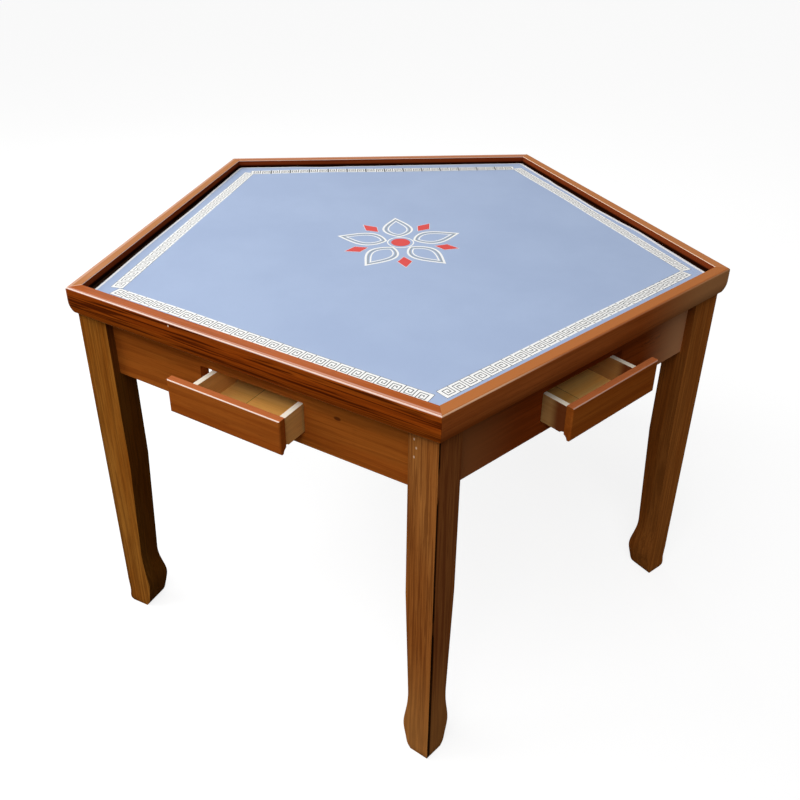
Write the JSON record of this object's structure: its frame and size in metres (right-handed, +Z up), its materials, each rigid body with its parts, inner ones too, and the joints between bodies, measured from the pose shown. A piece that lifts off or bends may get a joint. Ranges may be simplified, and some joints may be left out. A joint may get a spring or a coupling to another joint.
{
  "type": "game table",
  "caption": "Pentagonal wooden game table with a moulded rim, recessed printed mat, horse-hoof legs on the corners and a sliding drawer in the middle of each side.",
  "frame": {"origin": "on the floor, under the centre of the bounding box; a corner of the pentagon points along -Y and a side faces +Y", "axes": "+Z up, +X along the side that faces +Y"},
  "size_m": [1.1974, 1.1388, 0.75],
  "materials": {
    "rim_wood": "glossy red-brown varnish",
    "apron_wood": "satin brown varnish",
    "leg_wood": "satin golden-brown varnish",
    "drawer_front_wood": "glossy red-brown varnish",
    "drawer_box_wood": "bare pale wood",
    "drawer_board": "bare plywood",
    "panel_board": "bare plywood",
    "frame_wood": "bare softwood",
    "printed_mat": "smooth printed playing mat",
    "steel": "zinc plated"
  },
  "bodies": {
    "table": {"apron_back": "apron_wood", "apron_front_left": "apron_wood", "apron_front_right": "apron_wood", "apron_left": "apron_wood", "apron_right": "apron_wood", "back_drawer_runner_a": "frame_wood", "back_drawer_runner_b": "frame_wood", "corner_brace_back_left": "frame_wood", "corner_brace_back_right": "frame_wood", "corner_brace_front": "frame_wood", "corner_brace_left": "frame_wood", "corner_brace_right": "frame_wood", "drawer_stops": "frame_wood", "front_left_drawer_runner_a": "frame_wood", "front_left_drawer_runner_b": "frame_wood", "front_right_drawer_runner_a": "frame_wood", "front_right_drawer_runner_b": "frame_wood", "left_drawer_runner_a": "frame_wood", "left_drawer_runner_b": "frame_wood", "leg_back_left": "leg_wood", "leg_back_right": "leg_wood", "leg_bolts": "steel", "leg_front": "leg_wood", "leg_left": "leg_wood", "leg_right": "leg_wood", "playing_mat": "printed_mat", "right_drawer_runner_a": "frame_wood", "right_drawer_runner_b": "frame_wood", "rim_mitre_keys": "frame_wood", "rim_rail_back": "rim_wood", "rim_rail_front_left": "rim_wood", "rim_rail_front_right": "rim_wood", "rim_rail_left": "rim_wood", "rim_rail_right": "rim_wood", "top_panel": "panel_board"},
    "drawer_back": {"back_drawer_back": "drawer_box_wood", "back_drawer_bottom": "drawer_board", "back_drawer_front": "drawer_front_wood", "back_drawer_side_a": "drawer_box_wood", "back_drawer_side_b": "drawer_box_wood"},
    "drawer_right": {"right_drawer_back": "drawer_box_wood", "right_drawer_bottom": "drawer_board", "right_drawer_front": "drawer_front_wood", "right_drawer_side_a": "drawer_box_wood", "right_drawer_side_b": "drawer_box_wood"},
    "drawer_front_right": {"front_right_drawer_back": "drawer_box_wood", "front_right_drawer_bottom": "drawer_board", "front_right_drawer_front": "drawer_front_wood", "front_right_drawer_side_a": "drawer_box_wood", "front_right_drawer_side_b": "drawer_box_wood"},
    "drawer_front_left": {"front_left_drawer_back": "drawer_box_wood", "front_left_drawer_bottom": "drawer_board", "front_left_drawer_front": "drawer_front_wood", "front_left_drawer_side_a": "drawer_box_wood", "front_left_drawer_side_b": "drawer_box_wood"},
    "drawer_left": {"left_drawer_back": "drawer_box_wood", "left_drawer_bottom": "drawer_board", "left_drawer_front": "drawer_front_wood", "left_drawer_side_a": "drawer_box_wood", "left_drawer_side_b": "drawer_box_wood"}
  },
  "joints": [
    {"name": "back_drawer_slide", "type": "slide", "parent": "table", "child": "drawer_back", "axis": [0, 1, 0], "range_m": [0, 0.18997]},
    {"name": "right_drawer_slide", "type": "slide", "parent": "table", "child": "drawer_right", "axis": [0.9511, 0.309, 0], "range_m": [0, 0.18997]},
    {"name": "front_right_drawer_slide", "type": "slide", "parent": "table", "child": "drawer_front_right", "axis": [0.5878, -0.809, 0], "range_m": [-0.049, 0.14097]},
    {"name": "front_left_drawer_slide", "type": "slide", "parent": "table", "child": "drawer_front_left", "axis": [-0.5878, -0.809, 0], "range_m": [-0.049, 0.14097]},
    {"name": "left_drawer_slide", "type": "slide", "parent": "table", "child": "drawer_left", "axis": [-0.9511, 0.309, 0], "range_m": [0, 0.18997]}
  ]
}
